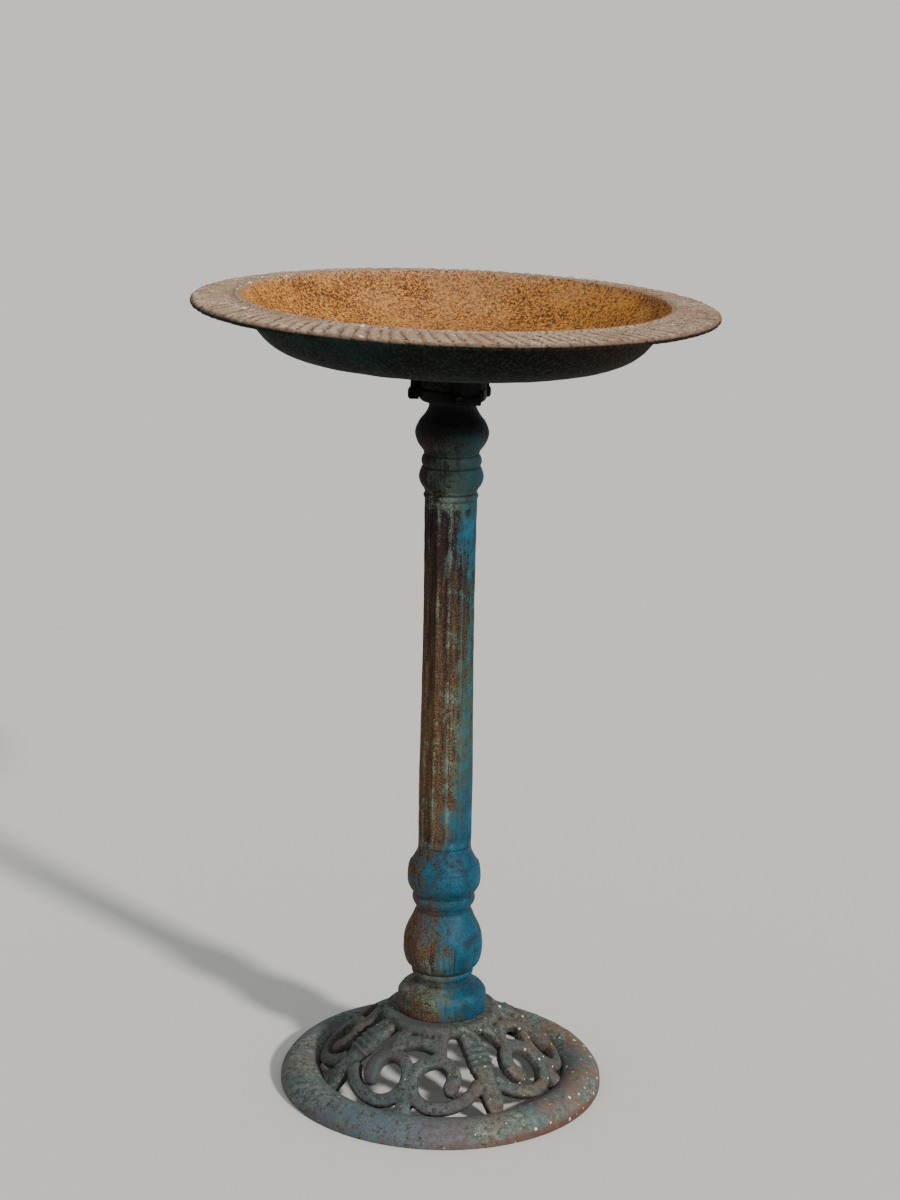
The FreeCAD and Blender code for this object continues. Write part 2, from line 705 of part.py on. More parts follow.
def make_foot():
    ring, collar = make_ring_and_collar()
    scrollwork = make_scrollwork()
    foot = doc.addObject("Part::MultiFuse", "base_casting")
    foot.Shapes = [ring, collar, scrollwork]
    return foot


# ---------------------------------------------------------------- build
hub_face = "Dims.hub_foot"
shelf_level = "Dims.head_top + Dims.pilot_height - Dims.counterbore_depth"
basin_form = make_basin()
pieces = {
    "base_casting": make_foot(),
    "lower_baluster": make_baluster(),
    "fluted_shaft": make_shaft(),
    "column_capital": make_capital(),
    "basin_casting": drill_basin(basin_form),
    "basin_lock_screw": make_screw(),
    "tie_rod": make_rod(),
    "rod_washer_top": make_washer("rod_washer_top", "Dims.washer_radius", shelf_level),
    "rod_nut_top": make_nut("rod_nut_top", shelf_level + " + Dims.washer_thickness"),
    "rod_washer_bottom": make_washer("rod_washer_bottom", "Dims.wide_washer_radius",
                                     hub_face + " - Dims.washer_thickness"),
    "lock_washer_bottom": make_lock_washer("lock_washer_bottom",
                                           hub_face + " - 2 * Dims.washer_thickness"),
    "rod_nut_bottom": make_nut("rod_nut_bottom",
                               hub_face + " - 2 * Dims.washer_thickness - Dims.nut_height"),
}
for node, item in pieces.items():
    item.Label = node
doc.recompute()

# ---------------------------------------------------------------- check and write
for item in doc.Objects:
    if "Invalid" in item.State or "Error" in item.State:
        raise RuntimeError(f"{item.Label} did not recompute: {item.State}")
for node, item in pieces.items():
    if item.Shape.isNull() or not item.Shape.isValid():
        raise RuntimeError(f"{node} has no valid shape")
    if len(item.Shape.Solids) != 1:
        raise RuntimeError(f"{node} is {len(item.Shape.Solids)} solids, not one")

os.makedirs("parts", exist_ok=True)
for node, item in pieces.items():
    item.Shape.exportStep(f"parts/{node}.step")
    print(f"{node}: {item.Shape.Volume / 1000:.1f} cm3, box {item.Shape.BoundBox}")
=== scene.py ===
import json
import math
from functools import partial
import bpy
from mathutils import Matrix, Vector, noise


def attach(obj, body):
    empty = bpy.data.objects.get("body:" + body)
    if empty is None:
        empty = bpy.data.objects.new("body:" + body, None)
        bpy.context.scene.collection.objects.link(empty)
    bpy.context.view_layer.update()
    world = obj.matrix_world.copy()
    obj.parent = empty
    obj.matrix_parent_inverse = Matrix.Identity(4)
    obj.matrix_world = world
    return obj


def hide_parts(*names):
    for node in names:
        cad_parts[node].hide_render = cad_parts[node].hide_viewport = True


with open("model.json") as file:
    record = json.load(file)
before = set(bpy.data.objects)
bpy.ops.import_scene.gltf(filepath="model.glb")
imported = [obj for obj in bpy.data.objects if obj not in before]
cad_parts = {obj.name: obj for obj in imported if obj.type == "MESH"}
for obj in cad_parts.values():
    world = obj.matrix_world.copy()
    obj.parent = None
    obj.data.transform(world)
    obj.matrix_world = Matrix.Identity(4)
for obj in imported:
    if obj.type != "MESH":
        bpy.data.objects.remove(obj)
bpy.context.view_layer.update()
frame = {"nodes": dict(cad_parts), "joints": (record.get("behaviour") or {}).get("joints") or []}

mm = 0.001
print("frame loaded:", len(frame["nodes"]), "CAD nodes")


def colour(code):
    # sRGB hex to the linear values that the shaders work in
    channels = [int(code[i:i + 2], 16) / 255 for i in (1, 3, 5)]
    linear = [c / 12.92 if c <= 0.04045 else ((c + 0.055) / 1.055) ** 2.4 for c in channels]
    return (*linear, 1.0)


def smoothStep(low, high, value):
    t = min(max((value - low) / (high - low), 0.0), 1.0)
    return t * t * (3 - 2 * t)


def smoothLine(points, step):
    # evenly stepped curve through (across, up) points; a repeated point is a sharp corner
    runs, run = [], [points[0]]
    for before, point in zip(points, points[1:]):
        if point == before:
            runs.append(run)
            run = [point]
        else:
            run.append(point)
    runs.append(run)
    line = []
    for run in runs:
        if len(run) < 2:
            continue
        ends = [tuple(2 * a - b for a, b in zip(run[0], run[1]))] + run
        ends += [tuple(2 * a - b for a, b in zip(run[-1], run[-2]))]
        for i in range(1, len(run)):
            p0, p1, p2, p3 = (Vector(p) for p in ends[i - 1:i + 3])
            count = max(1, round((p2 - p1).length / step))
            for k in range(count):
                t = k / count
                line.append(0.5 * (2 * p1 + (p2 - p0) * t + (2 * p0 - 5 * p1 + 4 * p2 - p3) * t * t
                                   + (3 * p1 - p0 - 3 * p2 + p3) * t ** 3))
        line.append(Vector(run[-1]))
    clean = [line[0]]
    for point in line[1:]:
        if (point - clean[-1]).length > 1e-6:
            clean.append(point)
    return clean


def newPiece(name, verts, faces, material, body=None):
    mesh = bpy.data.meshes.new(name)
    mesh.from_pydata(verts, [], faces)
    mesh.validate()
    mesh.shade_smooth()
    mesh.materials.append(material)
    piece = bpy.data.objects.new(name, mesh)
    bpy.context.scene.collection.objects.link(piece)
    if body:
        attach(piece, body)
    return piece


def turnedMesh(outline, around, shape):
    # turned surface of a closed outline; shape(angle, across, up) gives each point in mm
    verts, faces, rings = [], [], []
    for across, up in outline:
        if across < 1e-6:
            rings.append([len(verts)])
            verts.append(Vector((0, 0, up)) * mm)
            continue
        rings.append(list(range(len(verts), len(verts) + around)))
        for k in range(around):
            angle = 2 * math.pi * k / around
            reach, level = shape(angle, across, up)
            verts.append(Vector((reach * math.cos(angle), reach * math.sin(angle), level)) * mm)
    closed = len(rings[0]) > 1
    for low, high in zip(rings, rings[1:] + ([rings[0]] if closed else [])):
        for k in range(around):
            after = (k + 1) % around
            if len(low) == 1:
                faces.append((low[0], high[after], high[k]))
            elif len(high) == 1:
                faces.append((low[k], low[after], high[0]))
            else:
                faces.append((low[k], low[after], high[after], high[k]))
    return verts, faces


def unevenness(point, size, depth):
    # slow waviness of a sand casting, size and depth in mm
    return depth * noise.noise(Vector(point) / (size * mm))


def patternSize(millimetres):
    # noise scale for features of this real size, in a mesh measured in metres
    return 1.0 / (millimetres * mm)


def addNode(tree, kind, inputs=(), out=None, stops=(), **settings):
    # inputs go in order or by name, each a value, a hex colour or an output to link;
    # stops are a colour ramp's (position, hex colour or grey); gives the named or first output
    node = tree.nodes.new("ShaderNode" + kind)
    for key, value in settings.items():
        setattr(node, key, value)
    if stops:
        ramp = node.color_ramp
        while len(ramp.elements) < len(stops):
            ramp.elements.new(0.5)
        for element, (position, _) in zip(ramp.elements, stops):
            element.position = position
        for element, (_, tone) in zip(ramp.elements, stops):
            element.color = colour(tone) if isinstance(tone, str) else (tone, tone, tone, 1.0)
    live = [socket for socket in node.inputs if socket.enabled]
    for key, value in inputs.items() if isinstance(inputs, dict) else enumerate(inputs):
        socket = live[key] if isinstance(key, int) else node.inputs[key]
        if isinstance(value, bpy.types.NodeSocket):
            tree.links.new(value, socket)
        else:
            socket.default_value = colour(value) if isinstance(value, str) else value
    return node.outputs[out] if out else next((socket for socket in node.outputs if socket.enabled), None)


def newMaterial(name):
    # an empty material and the function that adds nodes to it
    material = bpy.data.materials.new(name)
    material.use_nodes = True
    material.node_tree.nodes.clear()
    return material, partial(addNode, material.node_tree)


def layOver(add, ground, tone, *masks):
    # tone over ground where every mask is up: each is an output, a share, or a value and its range
    amount = 1.0
    for mask in masks:
        share = add("MapRange", mask) if isinstance(mask, tuple) else mask
        amount = add("Math", [amount, share], operation="MULTIPLY")
    return add("Mix", [amount, ground, tone], data_type="RGBA")


def limeFlecks(add, place, millimetres, largest):
    # round splashes of lime of many sizes; largest is how much of its cell the largest fills
    spot = add("TexVoronoi", {"Vector": place, "Scale": patternSize(millimetres)})
    chance = add("SeparateColor", [spot.node.outputs["Color"]])
    size = add("Math", [add("Math", [chance, 7.0], operation="POWER"), largest], operation="MULTIPLY")
    return add("MapRange", [add("Math", [spot, size], operation="SUBTRACT"), 0.0, -0.05])


basinFinish = {
    "rust": [(0.0, "#3f2414"), (0.3, "#7d4b25"), (0.52, "#a8682e"), (0.75, "#c28136"), (1.0, "#d79d4a")],
    "rustRed": "#9a5a45", "rustYellow": "#c98a2c", "dust": "#77604f",
    "taupe": [(0.0, "#41322a"), (0.3, "#8a705a"), (0.58, "#b1967c"), (1.0, "#d2baa3")],
    "flangeRust": "#94643c", "lime": "#e4dfd2", "edge": "#5c473a",
    # underside colours: near black, painted shade over old dark paint
    "under": "#0b0b08", "underTeal": "#0c2427", "underOlive": "#262c22", "underRust": "#1d0c07",
    # patterns as (size in mm, detail, roughness)
    "grain": (1.3, 3.0, 0.7), "clump": (2.7, 4.0, 0.72), "cloud": (48.0, 4.0, 0.55),
    "flecks": 7.0, "largestFleck": 0.42,
    "clumpRelief": 1.3, "grainRelief": 0.7,  # mm
}


def basinIron():
    # sand-cast grey iron left bare outdoors: matt, granular orange rust where water stands,
    # a tight taupe oxide on the flange, and underneath old dark paint made near black as painted shade
    spec = basinFinish
    material, add = newMaterial("castIronRustedBasin")
    place = add("TexCoord", out="Object")
    x, y, _ = add("SeparateXYZ", [place]).node.outputs
    aside = add("Math", [x], operation="ABSOLUTE")
    grain, clump, cloud = (
        add("TexNoise", {"Vector": place, "Scale": patternSize(size), "Detail": detail, "Roughness": rough})
        for size, detail, rough in (spec["grain"], spec["clump"], spec["cloud"]))
    speckle = add("Math", [grain, clump], operation="ADD")
    crest, edgeZone, bowlZone, turnZone, underZone = (
        add("Attribute", out="Fac", attribute_name=name)
        for name in ("crest", "edgeZone", "bowlZone", "turnZone", "underZone"))
    # bowl: gold to orange in clumps with dark grains between, a redder middle, a yellower right
    drift = add("MapRange", [cloud, 0.35, 0.65, -0.06, 0.06])
    tone = add("MapRange", [add("Math", [speckle, drift], operation="ADD"), 0.875, 1.135])
    rust = add("ValToRGB", [tone], stops=spec["rust"])
    rust = layOver(add, rust, spec["rustRed"],
                   (y, 0.02, -0.09), (aside, 0.11, 0.03), (cloud, 0.36, 0.56, 0.0, 0.75))
    rust = layOver(add, rust, spec["rustYellow"], (x, 0.04, 0.12), (clump, 0.44, 0.6, 0.0, 0.7))
    rust = layOver(add, rust, spec["dust"], (y, 0.08, 0.17, 0.0, 0.5), (cloud, 0.35, 0.6))
    # flange: taupe, dark between the leaves, light on their crests, brown rust in patches
    spread = add("MapRange", [speckle, 0.8, 1.2, -0.48, 0.48])
    taupe = add("ValToRGB", [add("Math", [crest, spread], operation="ADD")], stops=spec["taupe"])
    taupe = layOver(add, taupe, spec["flangeRust"], (cloud, 0.42, 0.60), (clump, 0.42, 0.60, 0.0, 0.62))
    flecks = limeFlecks(add, place, spec["flecks"], spec["largestFleck"])
    taupe = layOver(add, taupe, spec["lime"], flecks, (x, 0.06, -0.08, 0.25, 1.0))
    taupe = layOver(add, taupe, spec["edge"], (x, 0.03, 0.20, 0.0, 0.3))
    taupe = layOver(add, taupe, spec["edge"], edgeZone)
    top = layOver(add, taupe, rust, bowlZone)
    # underneath: near black as painted shade over old paint, teal left of the middle, rust to the right,
    # olive at the turn and in specks
    under = layOver(add, spec["under"], spec["underTeal"], (x, 0.03, -0.10), (cloud, 0.42, 0.60))
    under = layOver(add, under, spec["underRust"], (x, 0.05, 0.14))
    # olive dust at the turn of the bowl, lighter there as a painted highlight of grazing light
    under = layOver(add, under, spec["underOlive"], turnZone, (clump, 0.38, 0.58))
    under = layOver(add, under, spec["underOlive"], (clump, 0.47, 0.60, 0.0, 0.75))
    relief = add("Bump", {"Strength": 0.6, "Distance": spec["clumpRelief"] * mm, "Height": clump})
    relief = add("Bump", {"Strength": 0.6, "Distance": spec["grainRelief"] * mm, "Height": grain,
                          "Normal": relief})
    surface = add("BsdfPrincipled", {
        "Base Color": layOver(add, top, under, underZone), "Normal": relief,
        "Roughness": add("MapRange", [speckle, 0.8, 1.2, 0.96, 0.70]),
        "Specular IOR Level": add("MapRange", [underZone, 0.0, 1.0, 0.25, 0.10])})
    add("OutputMaterial", [surface])
    return material


columnFinish = {
    "rust": [(0.0, "#1a100c"), (0.35, "#40301f"), (0.62, "#604830"), (1.0, "#86694a")],
    "maroon": [(0.0, "#080505"), (0.5, "#20151a"), (1.0, "#4a3428")],
    # near black: painted shade in the hollows and, over black paint, under the basin at the top
    "orange": "#8f4718", "soot": "#050505", "mauve": "#4b3a3c",
    "sage": [(0.0, "#2d352c"), (0.5, "#525c50"), (1.0, "#7b8775")],
    "blue": [(0.0, "#011f2b"), (0.45, "#033c54"), (1.0, "#0f566a")],
    # sage and blue for the capital, darkened as painted shade of the basin
    "teal": "#1b403c", "capitalGreen": "#182f2a", "capitalBlue": "#062830",
    # patterns as (size in mm, detail, roughness, distortion)
    "streak": (3.4, 4.0, 0.65, 0.0), "cloud": (20.0, 6.0, 0.66, 0.7), "grain": (1.2, 3.0, 0.72, 0.0),
    "patch": (30.0, 3.0, 0.6, 0.0),
    "streakStretch": 0.09,  # streaks run down the column
    # share of the paint left at each height, as (height in m, sage, blue)
    "left": [(0.07, 0.60, 0.66), (0.092, 0.90, 0.60), (0.14, 0.62, 0.67), (0.21, 0.78, 0.88),
             (0.24, 0.64, 0.64), (0.33, 0.50, 0.36), (0.43, 0.40, 0.38), (0.51, 0.46, 0.56),
             (0.55, 0.74, 0.50), (0.60, 0.66, 0.52)],
    "levelTop": 0.72,
    "paintRelief": 0.9, "grainRelief": 0.6,  # mm
}


def columnIron():
    # cast iron with two old coats, sage over blue, worn back to dark brown rust: chalky
    # broken edges, rust grains through the worn places
    spec = columnFinish
    material, add = newMaterial("wornPaintOnCastIron")
    place = add("TexCoord", out="Object")
    x, _, level = add("SeparateXYZ", [place]).node.outputs
    drawn = add("Mapping", {"Vector": place, "Scale": (1.0, 1.0, spec["streakStretch"])})
    streaks, cloud, grain, patch = (
        add("TexNoise", {"Vector": drawn if name == "streak" else place, "Scale": patternSize(spec[name][0]),
                         "Detail": spec[name][1], "Roughness": spec[name][2], "Distortion": spec[name][3]})
        for name in ("streak", "cloud", "grain", "patch"))
    crest = add("Attribute", out="Fac", attribute_name="crest")
    hollow = add("NewGeometry", out="Pointiness")
    # rust ground, maroon and darker towards the top, orange runs near the foot of the shaft
    tone = add("Math", [grain, 1.3], operation="MULTIPLY")
    tone = add("Math", [streaks, 0.7, tone], operation="MULTIPLY_ADD")
    tone = add("MapRange", [tone, 0.74, 1.26])
    ground = add("ValToRGB", [tone], stops=spec["rust"])
    ground = layOver(add, ground, add("ValToRGB", [tone], stops=spec["maroon"]), (level, 0.33, 0.50))
    ground = layOver(add, ground, spec["mauve"], (level, 0.215, 0.16), (patch, 0.44, 0.60, 0.0, 0.7))
    ground = layOver(add, ground, spec["orange"],
                     (streaks, 0.56, 0.66), (level, 0.34, 0.27), (level, 0.215, 0.23))
    # what is left of the paint: more on the right, on the ridges and low down
    field = add("Math", [streaks, cloud], operation="ADD")
    field = add("Math", [field, 0.8, add("Math", [grain, 0.7], operation="MULTIPLY")],
                operation="MULTIPLY_ADD")
    field = add("Math", [field, add("MapRange", [x, -0.024, 0.024, -1.38, -0.92])], operation="ADD")
    share = add("MapRange", [level, 0.0, spec["levelTop"]])
    sageLeft, blueLeft = (
        add("ValToRGB", [share], stops=[(row[0] / spec["levelTop"], row[coat]) for row in spec["left"]])
        for coat in (1, 2))
    sageField = add("Math", [crest, 0.16, add("Math", [field, sageLeft], operation="ADD")],
                    operation="MULTIPLY_ADD")
    sageMask = add("MapRange", [sageField, 0.52, 0.70])
    blueMask = add("MapRange", [add("Math", [field, blueLeft], operation="ADD"), 0.62, 0.76])
    mottle = add("Math", [grain, cloud], operation="ADD")
    sage = add("ValToRGB", [add("MapRange", [mottle, 0.75, 1.25])], stops=spec["sage"])
    blue = add("ValToRGB", [add("MapRange", [mottle, 0.80, 1.22])], stops=spec["blue"])
    sage = layOver(add, sage, spec["teal"], (x, 0.0, 0.016, 0.0, 0.85))
    basinShade = (level, 0.53, 0.56, 0.0, 0.85)  # darker and greener under the basin: painted shade of the basin, with a greener tint
    sage = layOver(add, sage, spec["capitalGreen"], basinShade)
    blue = layOver(add, blue, spec["capitalBlue"], basinShade)
    painted = layOver(add, ground, sage, sageMask, 0.85)
    painted = layOver(add, painted, blue, blueMask, 0.92)
    painted = layOver(add, painted, spec["soot"], (hollow, 0.497, 0.470), 0.75)  # painted shade in the hollows
    # near black at the top: painted shade of the basin over black paint
    painted = layOver(add, painted, spec["soot"], (level, 0.588, 0.606), (cloud, 0.34, 0.50, 0.7, 1.0))
    film = add("Math", [sageMask, blueMask], operation="MAXIMUM")
    film = add("Math", [film, 0.6, cloud], operation="MULTIPLY_ADD")
    relief = add("Bump", {"Strength": 0.5, "Distance": spec["paintRelief"] * mm, "Height": film})
    relief = add("Bump", {"Strength": 0.55, "Distance": spec["grainRelief"] * mm, "Height": grain,
                          "Normal": relief})
    surface = add("BsdfPrincipled", {
        "Base Color": painted, "Normal": relief, "Specular IOR Level": 0.22,
        "Roughness": add("MapRange", [blueMask, 0.0, 1.0, 0.88, 0.6])})
    add("OutputMaterial", [surface])
    return material


baseFinish = {
    "patina": [(0.0, "#1f211e"), (0.35, "#4b4f48"), (0.62, "#6b7067"), (1.0, "#8f958a")],
    "mauve": "#5e5150", "blueGrey": "#41586a", "teal": "#465f5c", "rust": "#552f22", "ochre": "#74583a",
    # near black for painted shade on the dome and in its hollows
    "lime": "#e0e0d4", "grime": "#121110",
    # patterns as (size in mm, detail, roughness)
    "grain": (1.4, 4.0, 0.7), "clump": (5.0, 4.0, 0.65), "cloud": (40.0, 4.0, 0.6), "patch": (26.0, 5.0, 0.6),
    "patchShift": (0.3, 0.1, 0.2), "flecks": 4.4,
    "clumpRelief": 1.2, "grainRelief": 0.7,  # mm
}


def baseIron():
    # cast iron that has stood on damp ground: chalky grey-green oxide, mauve-brown in
    # places, blue left at the front, rust along the outer foot, lime spots
    spec = baseFinish
    material, add = newMaterial("patinatedCastIronFoot")
    place = add("TexCoord", out="Object")
    shifted = add("Mapping", {"Vector": place, "Location": spec["patchShift"]})
    x, y, up = add("SeparateXYZ", [place]).node.outputs
    reach = add("VectorMath", [add("CombineXYZ", [x, y])], operation="LENGTH")
    grain, clump, cloud, patch = (
        add("TexNoise", {"Vector": shifted if name == "patch" else place, "Scale": patternSize(spec[name][0]),
                         "Detail": spec[name][1], "Roughness": spec[name][2]})
        for name in ("grain", "clump", "cloud", "patch"))
    hollow = add("NewGeometry", out="Pointiness")
    speckle = add("Math", [grain, clump], operation="ADD")
    tint = add("ValToRGB", [add("MapRange", [speckle, 0.72, 1.30])], stops=spec["patina"])
    tint = layOver(add, tint, spec["mauve"], (cloud, 0.46, 0.60, 0.0, 0.7))
    tint = layOver(add, tint, spec["teal"], (patch, 0.50, 0.64, 0.0, 0.5))
    tint = layOver(add, tint, spec["blueGrey"],
                   (y, -0.03, -0.12), (x, 0.05, -0.05), (clump, 0.38, 0.60, 0.0, 0.75))
    tint = layOver(add, tint, spec["ochre"], (patch, 0.50, 0.40), (x, 0.02, 0.10), 0.6)
    # rust where the ring meets the ground, broad on the right
    tint = layOver(add, tint, spec["rust"], (reach, 0.1415, 0.1445), (up, 0.012, 0.005),
                   (x, -0.02, 0.09, 0.12, 0.9), (clump, 0.34, 0.52))
    # the pierced dome stays darker than the ring and darker still in its hollows, both painted shade
    tint = layOver(add, tint, spec["grime"], (reach, 0.116, 0.104, 0.0, 0.38))
    tint = layOver(add, tint, spec["grime"], (hollow, 0.495, 0.455, 0.0, 0.8))
    largest = add("MapRange", [x, -0.02, 0.10, 0.18, 0.42])  # larger flecks towards the right
    flecks = limeFlecks(add, place, spec["flecks"], largest)
    tint = layOver(add, tint, spec["lime"], flecks, (grain, 0.40, 0.50))
    relief = add("Bump", {"Strength": 0.5, "Distance": spec["clumpRelief"] * mm, "Height": clump})
    relief = add("Bump", {"Strength": 0.55, "Distance": spec["grainRelief"] * mm, "Height": grain,
                          "Normal": relief})
    surface = add("BsdfPrincipled", {
        "Base Color": tint, "Normal": relief, "Specular IOR Level": 0.3,
        "Roughness": add("MapRange", [speckle, 0.8, 1.2, 0.92, 0.62])})
    add("OutputMaterial", [surface])
    return material


steelFinish = {"zinc": "#8c8b86", "stain": "#6b4a34", "stainSize": 6.0, "grain": 1.5, "grainRelief": 0.2}


def dullSteel():
    # zinc-plated steel gone dull and brown-stained: a metal, half rough
    spec = steelFinish
    material, add = newMaterial("dullZincSteel")
    place = add("TexCoord", out="Object")
    stain, grain = (
        add("TexNoise", {"Vector": place, "Scale": patternSize(size), "Detail": detail, "Roughness": 0.6})
        for size, detail in ((spec["stainSize"], 5.0), (spec["grain"], 4.0)))
    mask = add("MapRange", [stain, 0.42, 0.6])
    relief = add("Bump", {"Strength": 0.3, "Distance": spec["grainRelief"] * mm, "Height": grain})
    surface = add("BsdfPrincipled", {
        "Base Color": layOver(add, spec["zinc"], spec["stain"], mask), "Normal": relief, "Metallic": 0.7,
        "Roughness": add("MapRange", [mask, 0.0, 1.0, 0.42, 0.85])})
    add("OutputMaterial", [surface])
    return material


# black: old black paint darkened to near black as painted shade under the basin
blackFinish = {"black": "#090807", "rubbed": "#26160f", "cloud": 7.0, "relief": 0.6}


def blackIron():
    # old black paint on the hooks, matt, made near black as painted shade under the basin, with brown rust
    # where it is rubbed
    spec = blackFinish
    material, add = newMaterial("blackPaintOnIron")
    place = add("TexCoord", out="Object")
    cloud = add("TexNoise", {"Vector": place, "Scale": patternSize(spec["cloud"]), "Detail": 5.0,
                             "Roughness": 0.6})
    surface = add("BsdfPrincipled", {
        "Base Color": layOver(add, spec["black"], spec["rubbed"], (cloud, 0.54, 0.72, 0.0, 0.7)),
        "Normal": add("Bump", {"Strength": 0.5, "Distance": spec["relief"] * mm, "Height": cloud}),
        "Roughness": add("MapRange", [cloud, 0.4, 0.6, 0.85, 0.65]), "Specular IOR Level": 0.15})
    add("OutputMaterial", [surface])
    return material


basinMaterial = basinIron()
columnMaterial = columnIron()
baseMaterial = baseIron()
steelMaterial = dullSteel()
blackMaterial = blackIron()
print("finishes made")


basin = {
    "lean": 1.1,  # degrees, right side low
    "gap": 0.5,  # mm from the joint's level up to the seat
    "around": 720, "step": 4.6,  # points round, mm between points along the outline
    "ridges": 120, "ridgeHeight": 2.1, "ridgeWander": 0.45, "ridgeSlant": 0.055, "slantOver": 36.0,
    "ridgeStart": (187.0, 194.0), "ridgeFade": (216.0, 222.0),
    "edge": (214.0, 221.0), "scallop": 0.7, "chips": 1.8,
    "mouth": 179.9, "flangeInner": 187.5, "rim": 222.0, "flangeLevel": 69.0, "halfWall": 3.0,
    # reaches over which the finish changes
    "bowlEdge": (177.0, 183.5), "flangeEdge": (187.0, 191.0), "rimEdge": (219.0, 221.2),
    "turnStart": (128.0, 144.0), "turnEnd": (146.0, 160.0),
    "innerPoints": 11,  # how many of the outline's first points are the bowl's inner surface
    "outline": [
        # reach and height above the seat in mm: bowl floor, wall, mouth with its fine lines, flange
        (0, 26.5), (60, 27.6), (104, 29.6), (120, 31.4), (134, 35.2), (145, 40.6), (153, 47.2),
        (164, 57.4), (173, 65.4), (177.4, 69.6), (179.2, 72.2), (179.9, 73.9), (180.7, 74.9), (181.7, 74.5),
        (182.7, 74.4), (183.8, 75.3), (185.2, 75.1), (186.4, 73.9), (188, 73.4), (191, 73.4),
        (200, 72.9), (210, 72.2), (218, 71.4), (220.6, 70.8), (221.8, 69.6), (222, 68.4), (221.8, 67.0),
        (220.8, 66.0), (219, 65.9), (210, 66.5), (198, 67.3), (190, 67.8), (184.5, 67.5), (180, 64.9),
        (175, 58.2), (169.6, 50.0), (164.2, 42.8), (159, 37.6), (152, 32.8), (143.5, 28.8), (134, 26.4),
        (123, 25.0), (90, 23.2), (60, 21.6), (40, 20.6), (34, 19.4), (30, 17.0), (28.6, 13.5),
        (28.5, 10), (28.5, 0.6), (27.9, 0), (27.9, 0), (18.2, 0), (17.7, 0.6), (17.7, 9.6), (17.2, 10),
        (17.2, 10), (0, 10),
    ],
}
seat = frame["joints"][0]["pos_m"][2] + basin["gap"] * mm
lean = Matrix.Translation((0, 0, seat)) @ Matrix.Rotation(math.radians(basin["lean"]), 4, "Y")


def ridgeWave(angle, across):
    # overlapping slanted leaves round the flange: 0 in the joints, 1 on the crests
    spec = basin
    ring = Vector((math.cos(angle), math.sin(angle), 0))
    wander = spec["ridgeWander"] * noise.noise(ring * 11 + Vector((0, 0, 1.7)))
    turn = angle - spec["ridgeSlant"] * (across - spec["flangeInner"]) / spec["slantOver"]
    phase = (turn * spec["ridges"] / (2 * math.pi) + wander) % 1.0
    return math.sin(math.pi * phase ** 0.7) ** 0.65


def basinShape(angle, across, up):
    spec = basin
    point = Vector((across * math.cos(angle), across * math.sin(angle), up)) * mm
    if up > spec["flangeLevel"] and across > spec["mouth"]:
        gate = smoothStep(*spec["ridgeStart"], across) * (1.0 - 0.5 * smoothStep(*spec["ridgeFade"], across))
        strength = 0.8 + unevenness(point, 18.0, 0.9)
        up += spec["ridgeHeight"] * gate * strength * (ridgeWave(angle, across) - 0.7)
        up += gate * unevenness(point, 6.0, 0.8)
    edge = smoothStep(*spec["edge"], across)
    if edge > 0:
        across += edge * spec["scallop"] * (ridgeWave(angle, spec["rim"]) - 1.0)
        across += edge * min(0.0, unevenness(point, 8.0, spec["chips"]) + 0.1) * 0.9
    across += unevenness(point, 30.0, 0.25)
    up += unevenness(point + Vector((0, 0, 0.5)), 16.0, 0.35)
    return across, up


def makeBasin():
    spec = basin
    outline = smoothLine(spec["outline"], spec["step"])
    verts, faces = turnedMesh(outline, spec["around"], basinShape)
    piece = newPiece("basin_bowl", verts, faces, basinMaterial)
    mesh = piece.data
    values = {"bowlZone": [], "underZone": [], "turnZone": [], "crest": [], "edgeZone": []}
    for vertex in mesh.vertices:
        x, y, z = vertex.co / mm
        reach = math.hypot(x, y)
        wobble = 2.0 * noise.noise(vertex.co / 0.012)
        isTop = z > innerLevel(reach) - spec["halfWall"]
        values["bowlZone"].append(1.0 - smoothStep(*spec["bowlEdge"], reach + wobble) if isTop else 0.0)
        values["underZone"].append(0.0 if isTop else 1.0)
        turn = smoothStep(*spec["turnStart"], reach) * (1.0 - smoothStep(*spec["turnEnd"], reach))
        values["turnZone"].append(0.0 if isTop else turn * (0.6 + 0.4 * noise.noise(vertex.co / 0.02)))
        onFlange = smoothStep(*spec["flangeEdge"], reach)
        ridge = ridgeWave(math.atan2(y, x), reach) - 0.7 if onFlange > 0 else 0.0
        values["crest"].append(0.5 + onFlange * 0.7 * ridge)
        values["edgeZone"].append(0.85 * smoothStep(*spec["rimEdge"], reach + 0.3 * wobble))
    for name, numbers in values.items():
        mesh.attributes.new(name, "FLOAT", "POINT").data.foreach_set("value", numbers)
    mesh.transform(lean)
    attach(piece, "basin")
    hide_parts("basin_casting")


def innerLevel(reach):
    # height of the bowl's inner surface at this reach
    points = basin["outline"][:basin["innerPoints"]]
    for (r0, z0), (r1, z1) in zip(points, points[1:]):
        if r0 <= reach <= r1:
            return z0 + (z1 - z0) * (reach - r0) / (r1 - r0)
    return points[-1][1]


makeBasin()
print("basin made")


